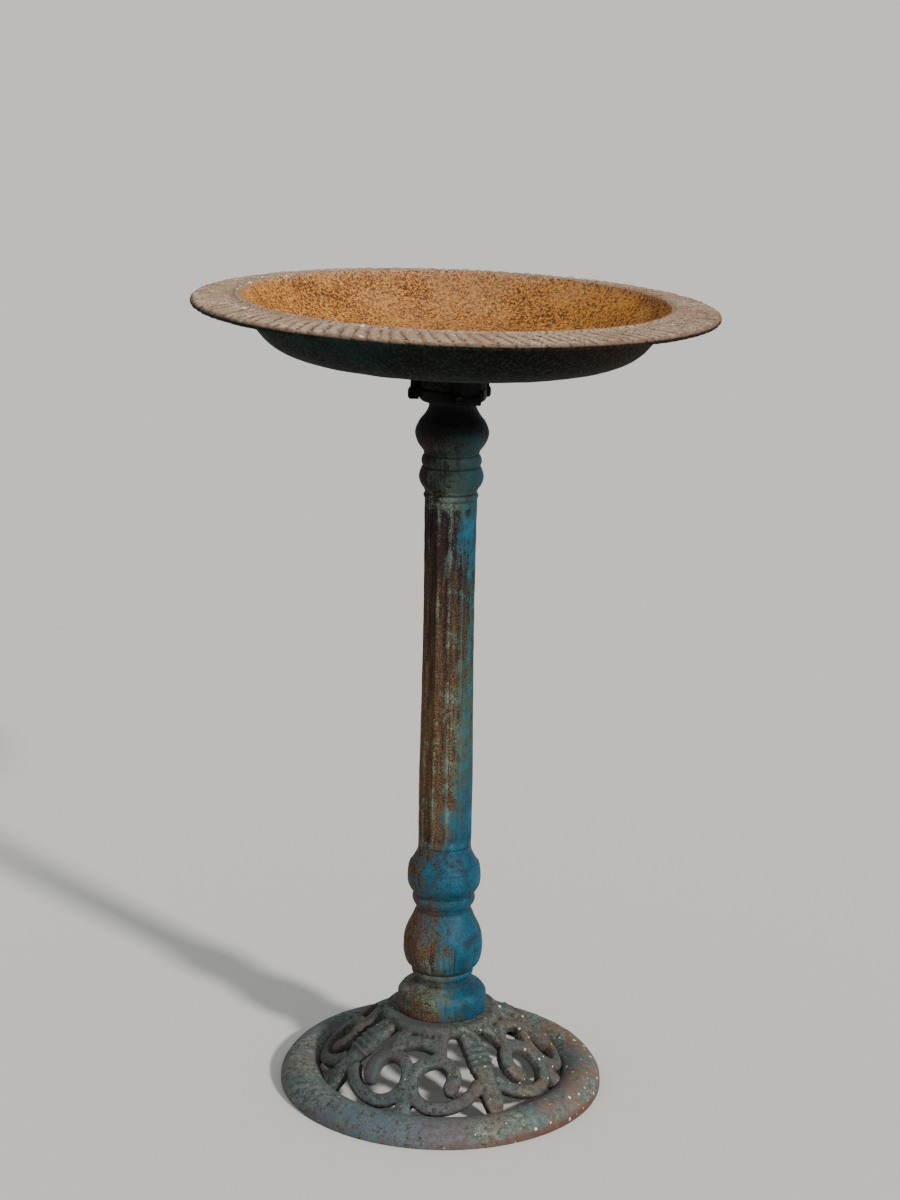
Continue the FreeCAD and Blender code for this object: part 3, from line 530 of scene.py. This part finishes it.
column = {
    # outlines as reach and height above the ground in mm
    "capital": [
        (15.2, 538), (22.4, 538), (22.4, 538), (22.9, 539.3), (23.6, 541), (23.0, 542.7), (22.2, 543.8),
        (22.2, 543.8), (22.9, 546), (23.8, 548), (25.4, 550), (27.0, 553.6), (27.7, 557.3), (27.2, 561),
        (26.0, 564.2), (25.3, 565.6), (24.3, 566.6), (24.3, 566.6), (25.2, 568.2), (25.8, 570.6),
        (25.5, 573.2), (24.6, 575.6), (23.2, 577.2), (23.2, 577.2), (23.9, 578.2), (24.0, 579.6),
        (25.0, 581.2), (27.9, 585), (29.9, 588.5), (31.1, 592), (31.6, 595.4), (30.9, 599), (29.7, 602),
        (27.6, 606), (25.1, 609), (22.6, 612.6), (20.9, 616), (20.2, 618.6), (20.4, 620.6),
        (21.6, 621.6), (26.2, 623.0), (28.2, 624.8), (28.5, 627), (28.5, 632.9),
        (27.9, 633.5), (27.9, 633.5), (17.6, 633.5), (17, 634), (17, 641.4), (16.5, 642), (16.5, 642),
        (13.5, 642), (13, 641.5), (13, 627), (13, 627), (5.5, 627), (5.5, 627), (5.5, 613), (5.5, 613),
        (12, 613), (12, 613), (12, 545.2), (12, 545.2), (15.2, 545.2), (15.2, 545.2), (15.2, 538.05),
    ],
    "shaft": [
        (15, 225), (23.5, 225), (23.5, 225), (23.4, 228), (23.6, 260), (23.6, 293), (23.0, 330),
        (22.6, 367), (22.1, 421), (22.1, 475), (22.4, 520), (22.5, 538), (22.5, 538), (15, 538),
        (15, 538), (15, 545), (15, 545), (12, 545), (12, 545), (12, 218), (12, 218), (15, 218),
        (15, 218), (15, 224.9),
    ],
    "baluster": [
        (12, 70.05), (39.0, 70.05), (39.6, 70.8), (39.7, 78), (39.6, 85.4), (39.3, 86.4), (39.3, 86.4),
        (36.6, 90.2), (36.0, 90.8), (36.0, 90.8), (32.0, 93.2), (27.6, 95.4), (25.0, 97.0), (24.3, 98.8),
        (24.6, 101), (25.8, 103), (27.2, 104.6), (27.6, 106.2), (27.4, 107.8), (26.9, 108.8),
        (27.2, 109.8), (28.6, 111), (31.7, 114),
        (34.0, 118.4), (35.2, 123), (35.9, 128), (35.8, 133), (35.2, 138), (34.2, 142.6), (32.4, 147.6),
        (30.2, 152), (27.8, 157), (26.0, 161.6), (24.5, 164.6), (24.3, 166.4), (25.2, 169), (27.0, 172),
        (27.9, 175), (27.6, 178), (27.3, 180.2), (27.8, 181.8), (29.4, 184), (31.0, 186.8),
        (32.2, 190), (32.8, 195), (32.5, 200), (31.6, 204.5), (31.8, 205.3), (30.8, 207.2), (30.9, 208),
        (29.4, 209.6), (26.9, 214), (24.6, 218.6), (23.7, 222), (23.5, 225), (23.5, 225), (15.2, 225),
        (15.2, 225), (15.2, 217.8), (15.2, 217.8), (12, 217.8), (12, 217.8), (12, 86.5), (12, 86.5),
        (5.5, 86.5), (5.5, 86.5), (5.5, 63), (5.5, 63), (12, 63), (12, 63), (12, 70),
    ],
    "bore": 20.0,  # only what is further out than this is shaped
    "flutes": 12, "fluteDepth": 2.1, "fluteFoot": 230.0, "fluteTop": 533.0, "fluteEnd": 6.0,
    "petals": 10, "petalDepth": 1.5, "petalFoot": (108.0, 116.0), "petalTop": (120.0, 156.0),
    "upperPetals": 8, "upperPetalDepth": 0.5, "upperFoot": (182.0, 188.0), "upperTop": (196.0, 204.0),
    "skin": (9.0, 0.22),  # size and depth of the casting's unevenness
    # piece, outline, CAD node, points round, spacing along the outline
    "turnings": (("capital_turning", "capital", "column_capital", 200, 1.1),
                 ("shaft_turning", "shaft", "fluted_shaft", 240, 3.0),
                 ("baluster_turning", "baluster", "lower_baluster", 240, 1.1)),
}


def castSkin(angle, across, up):
    point = (across * mm * math.cos(angle), across * mm * math.sin(angle), up * mm)
    return across + unevenness(point, *column["skin"]), up


def shaftShape(angle, across, up):
    spec = column
    if across > spec["bore"]:
        pitch = 2 * math.pi / spec["flutes"]
        phase = ((angle + math.pi / 2) / pitch) % 1.0  # a ridge faces the front
        hollow = max(0.0, math.sin(math.pi * phase)) ** 0.8
        # rounded ends: the flute narrows as it runs out
        ends = min(up - spec["fluteFoot"], spec["fluteTop"] - up) / spec["fluteEnd"]
        ends = max(min(ends, 1.0), 0.0)
        across -= spec["fluteDepth"] * hollow * math.sqrt(ends * (2 - ends))
    return castSkin(angle, across, up)


def balusterShape(angle, across, up):
    spec = column
    if across > spec["bore"]:
        # cast petals round the lower bulb, deepest at its foot, and fainter ones round the upper
        gate = smoothStep(*spec["petalFoot"], up) * (1 - smoothStep(*spec["petalTop"], up))
        lobe = abs(math.sin(angle * spec["petals"] / 2))
        across -= spec["petalDepth"] * gate * (1 - lobe ** 0.6)
        gate = smoothStep(*spec["upperFoot"], up) * (1 - smoothStep(*spec["upperTop"], up))
        lobe = abs(math.sin(angle * spec["upperPetals"] / 2))
        across -= spec["upperPetalDepth"] * gate * (1 - lobe ** 0.5)
    return castSkin(angle, across, up)


def ridgeAt(point, name):
    # 1 on the ridges between two flutes, 0 in the flutes and on the other pieces
    if name != "shaft_turning":
        return 0.0
    phase = (math.atan2(point.y, point.x) + math.pi / 2) * column["flutes"] / (2 * math.pi)
    return abs(math.cos(math.pi * phase)) ** 4


def makeColumn():
    spec = column
    shapes = {"capital": castSkin, "shaft": shaftShape, "baluster": balusterShape}
    for name, outlineName, node, around, step in spec["turnings"]:
        outline = smoothLine(spec[outlineName], step)
        verts, faces = turnedMesh(outline, around, shapes[outlineName])
        piece = newPiece(name, verts, faces, columnMaterial, "column")
        crest = piece.data.attributes.new("crest", "FLOAT", "POINT")
        crest.data.foreach_set("value", [ridgeAt(v.co, name) for v in piece.data.vertices])
        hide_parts(node)


makeColumn()
print("column made")


twistLock = {
    "turn": 50.0, "hooks": 3, "hookAngle": 38.0, "lobeAngle": 62.0,  # degrees
    "slices": 24, "tuck": 0.5, "tuckFrom": 34.0, "hookBevel": 0.6, "lobeBevel": 0.5,
    "hook": [(24, 21), (24, 0), (33.8, 0), (33.8, -7.9), (29.4, -7.9), (29.4, -10.4), (36.4, -10.4),
             (37.6, -9.8), (38, -8.8), (38, -4.0), (37.4, -2.8), (36.2, -2.2), (36, 2), (36, 21)],
    "lobe": [(25.5, 627.5), (32.6, 627.5), (33, 627.9), (33, 633.1), (32.6, 633.5), (25.5, 633.5)],
}


def sectorMesh(outline, middle, width, place):
    # a closed outline swept part of the way round the axis, with both ends capped
    spec = twistLock
    verts, faces = [], []
    count = len(outline)
    steps = spec["slices"]
    for k in range(steps + 1):
        angle = math.radians(middle - width / 2 + width * k / steps)
        tuck = spec["tuck"] if k in (0, steps) else 0.0  # eased ends
        for across, up in outline:
            reach = across - (tuck if across > spec["tuckFrom"] else 0.0)
            verts.append(place @ (Vector((reach * math.cos(angle), reach * math.sin(angle), up)) * mm))
    for k in range(steps):
        for i in range(count):
            j = (i + 1) % count
            faces.append((k * count + i, k * count + j, (k + 1) * count + j, (k + 1) * count + i))
    faces.append(tuple(range(count)))
    faces.append(tuple(steps * count + i for i in reversed(range(count))))
    return verts, faces


def makeTwistLock():
    spec = twistLock
    for k in range(spec["hooks"]):
        middle = spec["turn"] + 360 / spec["hooks"] * k
        verts, faces = sectorMesh(spec["hook"], middle, spec["hookAngle"], lean)
        piece = newPiece(f"basin_hook_{k + 1}", verts, faces, blackMaterial, "basin")
        addBevel(piece, spec["hookBevel"])
        verts, faces = sectorMesh(spec["lobe"], middle, spec["lobeAngle"], Matrix.Identity(4))
        piece = newPiece(f"head_lobe_{k + 1}", verts, faces, columnMaterial, "column")
        addBevel(piece, spec["lobeBevel"])


def addBevel(piece, width):
    bevel = piece.modifiers.new("eased", "BEVEL")
    bevel.width = width * mm
    bevel.segments = 3
    bevel.limit_method = "ANGLE"
    bevel.angle_limit = math.radians(50)


makeTwistLock()
print("twist lock made")


foot = {
    # reach and height in mm: three points of the dome's outer arc, then the two outlines
    "dome": ((48.0, 66.0), (81.0, 46.6), (113.0, 12.5)),
    "voxel": 1.3, "skin": (8.0, 0.22),  # mm; size and depth of the casting's unevenness
    "ring": [(138.5, 0), (144.0, 0), (144.5, 0.6), (144.6, 5), (143.2, 9.5), (139.6, 14.4), (134.4, 18.2),
             (128, 20.0), (121, 19.4), (114.6, 16.6), (110.2, 13.4), (109, 11), (109.2, 7.4), (110.4, 6.4),
             (116, 10.4), (122, 13.2), (128, 14.0), (133, 12.4), (137, 8.4), (138.5, 4)],
    "collar": [(5.5, 50), (20, 50), (20, 50), (22, 57), (26, 58), (47, 58), (50, 59.6), (52, 63),
               (52.2, 66.4), (51.4, 68.8), (49, 70), (49, 70), (12.2, 70), (12.2, 70), (12.2, 62.8),
               (12.2, 62.8), (5.5, 62.8)],
    "stems": 4, "stemTurn": -63.0,  # degrees
    "scrollOffset": 28.2, "slope": 46.0, "scrollReach": 91.0, "scrollLevel": 36.5,
    "band": 11.8, "tipBand": 13.8, "depth": 9.5, "crown": 2.6, "crownRise": 3.0,
    # radii of a scroll's arcs, the degrees at which each ends, and its shift off the middle
    "lead": 43.0, "main": 22.6, "curl": 16.2, "tip": 10.6, "arcEnds": (21.0, 90.0, 270.0, 380.0, 446.0),
    "shift": -2.0, "arcStep": 1.6,
    # straight bars as (start, end, widths, lifts) down the dome, widths and lifts by share of the way
    "stem": (46, 92, [(0, 18), (0.45, 20), (0.7, 21), (1, 16)], [(0, 0.4), (0.5, 1.0), (1, 0.2)]),
    "leaf": (84, 116, [(0, 9), (0.35, 12), (0.6, 19), (1, 11)], [(0, 0.0), (0.6, 0.8), (1, 0)]),
    "sideBar": (46, 77, [(0, 14), (0.6, 11.5), (1, 10.5)]), "sideBarTurns": (-27.0, 27.0),
    "pad": (99, 114, [(0, 4), (0.5, 13), (1, 19)]),
    "bandReaches": (66, 71, 76, 81), "bandLength": 4.2,
    "bandRing": ([(0, 18), (0.5, 23.5), (1, 18)], [(0, 0.2), (0.5, 2.6), (1, 0.2)]),
    "barPoints": 26,
    "swagTurn": 19.0, "swagReach": 59.0, "swagDrop": 6.0, "swagPoints": 19,
    "swagWidth": 12.5, "swagSwell": 1.5,
    # points round and mm between points along the outline
    "collarFineness": (240, 2.0), "ringFineness": (520, 1.4),
}


def domeCircle():
    # centre and radius of the arc through three points
    (x1, y1), (x2, y2), (x3, y3) = foot["dome"]
    d = 2 * (x1 * (y2 - y3) + x2 * (y3 - y1) + x3 * (y1 - y2))
    s1, s2, s3 = x1 * x1 + y1 * y1, x2 * x2 + y2 * y2, x3 * x3 + y3 * y3
    cx = (s1 * (y2 - y3) + s2 * (y3 - y1) + s3 * (y1 - y2)) / d
    cy = (s1 * (x3 - x2) + s2 * (x1 - x3) + s3 * (x2 - x1)) / d
    return cx, cy, math.hypot(x1 - cx, y1 - cy)


domeCentre = domeCircle()


def onDome(point):
    # the nearest place on the dome's outer surface and the outward normal there
    cx, cy, radius = domeCentre
    reach = math.hypot(point.x, point.y)
    away = Vector((reach - cx, point.z - cy)).normalized()
    unit = Vector((point.x / reach, point.y / reach, 0))
    normal = unit * away.x + Vector((0, 0, away.y))
    return unit * (cx + radius * away.x) + Vector((0, 0, cy + radius * away.y)), normal


def scrollLine():
    # centre line of a scroll: four tangent arcs in the plane of the dome's slope, across
    # towards the stem and down the slope
    spec = foot
    begin, leadEnd, mainEnd, curlEnd, tipEnd = spec["arcEnds"]
    arcs = [(Vector((spec["shift"], spec["main"] - spec["lead"])), spec["lead"], begin, leadEnd),
            (Vector((spec["shift"], 0)), spec["main"], leadEnd, mainEnd)]
    for radius, finish in ((spec["curl"], curlEnd), (spec["tip"], tipEnd)):
        centre, lastRadius, _, start = arcs[-1]
        angle = math.radians(start)
        arcs.append((centre + Vector((math.cos(angle), math.sin(angle))) * (lastRadius - radius),
                     radius, start, finish))
    line = []
    for centre, radius, start, finish in arcs:
        count = max(4, round(math.radians(finish - start) * radius / spec["arcStep"]))
        for k in range(count):
            angle = math.radians(start + (finish - start) * k / count)
            line.append(centre + Vector((math.cos(angle), math.sin(angle))) * radius)
    return line


def barSection(width):
    # rounded top, sides straight down into the casting
    depth, crown = foot["depth"], foot["crown"]
    half = width / 2
    section = [(-half, -depth), (-half, -crown)]
    for k in range(1, 10):
        angle = math.pi * k / 10
        section.append((-half * math.cos(angle), -crown + foot["crownRise"] * math.sin(angle) ** 0.8))
    section += [(half, -crown), (half, -depth)]
    return section


def sweepBar(points, widths, lifts=None):
    # bar with its top on the dome along these points, its width and lift by point
    verts, faces = [], []
    seats = [onDome(point) for point in points]
    last = len(points) - 1
    count = len(barSection(widths[0]))
    for k, (spot, normal) in enumerate(seats):
        ahead = seats[min(k + 1, last)][0] - seats[max(k - 1, 0)][0]
        side = ahead.cross(normal).normalized()
        lift = lifts[k] if lifts else 0.0
        for across, up in barSection(widths[k]):
            verts.append((spot + side * across + normal * (up + lift)) * mm)
    for k in range(last):
        for i in range(count):
            j = (i + 1) % count
            faces.append((k * count + i, k * count + j, (k + 1) * count + j, (k + 1) * count + i))
    faces.append(tuple(reversed(range(count))))
    faces.append(tuple(last * count + i for i in range(count)))
    return verts, faces


def polar(turn, reach, level):
    angle = math.radians(turn)
    return Vector((reach * math.cos(angle), reach * math.sin(angle), level))


def domeLevel(reach):
    cx, cy, radius = domeCentre
    return cy + math.sqrt(max(radius ** 2 - (reach - cx) ** 2, 0))


def radialBar(turn, start, finish, widths, lifts=None):
    # bar straight down the dome; widths and lifts are (share of the way, value) stops
    count = foot["barPoints"]
    points, wide, high = [], [], []
    for k in range(count):
        t = k / (count - 1)
        reach = start + (finish - start) * t
        points.append(polar(turn, reach, domeLevel(reach)))
        wide.append(stopValue(widths, t))
        high.append(stopValue(lifts, t) if lifts else 0.0)
    return sweepBar(points, wide, high)


def stopValue(stops, t):
    # value at share t of the way, eased between the stops
    for (t0, v0), (t1, v1) in zip(stops, stops[1:]):
        if t <= t1:
            return v0 + (v1 - v0) * smoothStep(t0, t1, t)
    return stops[-1][1]


def scrollBar(turn, mirror):
    # one scroll laid on the dome at this turn, mirrored by -1
    spec = foot
    angle = math.radians(turn)
    slope = math.radians(spec["slope"])
    out = Vector((math.cos(angle), math.sin(angle), 0))
    across = Vector((-math.sin(angle), math.cos(angle), 0)) * mirror
    down = out * math.cos(slope) + Vector((0, 0, -math.sin(slope)))
    centre = out * spec["scrollReach"] + Vector((0, 0, spec["scrollLevel"]))
    line = scrollLine()
    points = [centre + across * p.x + down * p.y for p in line]
    count = len(points)
    widths = []
    for k in range(count):
        left = (count - 1 - k) / 3.0  # the tip rounds off over its last few steps
        band = spec["band"] + (spec["tipBand"] - spec["band"]) * smoothStep(0.72, 0.95, k / count)
        widths.append(band * math.sqrt(max(0.25, 1 - (1 - min(left, 1)) ** 2)))
    return sweepBar(points, widths)


def swagBar(middle):
    # cross piece that hangs between two stems, just below the collar
    spec = foot
    points, widths = [], []
    for k in range(spec["swagPoints"]):
        t = 2 * k / (spec["swagPoints"] - 1) - 1
        reach = spec["swagReach"] + spec["swagDrop"] * t * t
        points.append(polar(middle + spec["swagTurn"] * t, reach, domeLevel(reach)))
        widths.append(spec["swagWidth"] + spec["swagSwell"] * math.cos(k / 3))
    return sweepBar(points, widths)


def makeFoot():
    spec = foot
    quarter = 360 / spec["stems"]
    around, step = spec["collarFineness"]
    parts = [turnedMesh(smoothLine(spec["collar"], step), around, lambda angle, across, up: (across, up))]
    for index in range(spec["stems"]):
        # a stem that widens at its band of raised rings, then a leaf down to the ground ring
        turn = spec["stemTurn"] + quarter * index
        parts.append(radialBar(turn, *spec["stem"]))
        for reach in spec["bandReaches"]:
            parts.append(radialBar(turn, reach, reach + spec["bandLength"], *spec["bandRing"]))
        parts.append(radialBar(turn, *spec["leaf"]))
        # scrolls and short bars on both sides of it, and the swag and pad between two stems
        parts.append(scrollBar(turn - spec["scrollOffset"], 1))
        parts.append(scrollBar(turn + spec["scrollOffset"], -1))
        for side in spec["sideBarTurns"]:
            parts.append(radialBar(turn + side, *spec["sideBar"]))
        middle = turn + quarter / 2
        parts.append(swagBar(middle))
        parts.append(radialBar(middle, *spec["pad"]))
    verts, faces = [], []
    for partVerts, partFaces in parts:
        start = len(verts)
        verts += partVerts
        faces += [tuple(start + i for i in face) for face in partFaces]
    rough = newPiece("foot_rough", verts, faces, baseMaterial)
    remesh = rough.modifiers.new("cast", "REMESH")  # joins the bars into one casting
    remesh.mode = "VOXEL"
    remesh.voxel_size = spec["voxel"] * mm
    smooth = rough.modifiers.new("fillets", "SMOOTH")
    smooth.factor = 0.5
    smooth.iterations = 2
    graph = bpy.context.evaluated_depsgraph_get()
    mesh = bpy.data.meshes.new_from_object(rough.evaluated_get(graph))
    bpy.data.objects.remove(rough)
    normals = [vertex.normal.copy() for vertex in mesh.vertices]  # all read before any point moves
    for vertex, normal in zip(mesh.vertices, normals):
        vertex.co += normal * unevenness(vertex.co, *spec["skin"]) * mm
        vertex.co.z = max(vertex.co.z, 0.0)
    mesh.shade_smooth()
    mesh.name = "foot_casting"
    piece = bpy.data.objects.new("foot_casting", mesh)
    bpy.context.scene.collection.objects.link(piece)
    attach(piece, "column")
    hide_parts("base_casting")
    print("foot made:", len(mesh.polygons), "faces")


def ringShape(angle, across, up):
    point = Vector((across * math.cos(angle), across * math.sin(angle), up)) * mm
    if up < 2.0:  # the face it stands on stays flat
        return across, up
    return across + unevenness(point, 24.0, 0.35), up + unevenness(point, 11.0, 0.4) - 0.15


def makeRing():
    # the ground ring, a half-round channel open underneath
    around, step = foot["ringFineness"]
    verts, faces = turnedMesh(smoothLine(foot["ring"], step), around, ringShape)
    newPiece("foot_ring", verts, faces, baseMaterial, "column")


makeFoot()
makeRing()
print("ground ring made")


for node in ("tie_rod", "rod_washer_top", "rod_nut_top", "rod_washer_bottom", "lock_washer_bottom",
             "rod_nut_bottom", "basin_lock_screw"):
    mesh = frame["nodes"][node].data
    mesh.materials.clear()
    mesh.materials.append(blackMaterial if node == "basin_lock_screw" else steelMaterial)
print("hardware finished")


studio = {
    # metres, degrees, and the lens in mm
    "distance": 2.089, "height": 0.996, "sideways": 0.0008, "pitch": 14.7, "roll": 1.05, "lens": 75.0,
    "floor": "#dcd9d2", "floorSize": 120.0,
    "keyTurn": 42.0, "keyHeight": 29.5, "keyStrength": 3.8, "keyAngle": 5.0, "keyTint": (1.0, 0.975, 0.94),
    "fillStrength": 0.55, "fillTint": (0.93, 0.96, 1.0, 1.0),
}


def makeStudio():
    spec = studio
    data = bpy.data.cameras.new("camera")
    data.lens = spec["lens"]
    data.sensor_width = 36.0
    camera = bpy.data.objects.new("camera", data)
    place = Matrix.Translation((spec["sideways"], -spec["distance"], spec["height"]))
    tip = Matrix.Rotation(math.radians(90 - spec["pitch"]), 4, "X")
    camera.matrix_world = place @ tip @ Matrix.Rotation(math.radians(spec["roll"]), 4, "Z")
    bpy.context.scene.collection.objects.link(camera)
    bpy.context.scene.camera = camera

    half = spec["floorSize"] / 2
    corners = [Vector((x, y, 0)) for x, y in ((-half, -half), (half, -half), (half, half), (-half, half))]
    mesh = bpy.data.meshes.new("floor")
    mesh.from_pydata(corners, [], [(0, 1, 2, 3)])
    material, add = newMaterial("paleFloor")
    add("OutputMaterial", [add("BsdfPrincipled", {"Base Color": spec["floor"], "Roughness": 0.9})])
    mesh.materials.append(material)
    floor = bpy.data.objects.new("floor", mesh)
    bpy.context.scene.collection.objects.link(floor)

    key = bpy.data.lights.new("key", "SUN")  # a high window, a little to the right
    key.energy = spec["keyStrength"]
    key.angle = math.radians(spec["keyAngle"])
    key.color = spec["keyTint"]
    lamp = bpy.data.objects.new("key", key)
    turn = math.radians(spec["keyTurn"])
    rise = math.radians(spec["keyHeight"])
    towards = Vector((math.sin(turn) * math.cos(rise), -math.cos(turn) * math.cos(rise), math.sin(rise)))
    lamp.matrix_world = towards.to_track_quat("Z", "Y").to_matrix().to_4x4()
    bpy.context.scene.collection.objects.link(lamp)

    world = bpy.data.worlds.new("studio")
    world.use_nodes = True
    background = world.node_tree.nodes["Background"]
    background.inputs[0].default_value = spec["fillTint"]
    background.inputs[1].default_value = spec["fillStrength"]
    bpy.context.scene.world = world


makeStudio()
print("studio made")
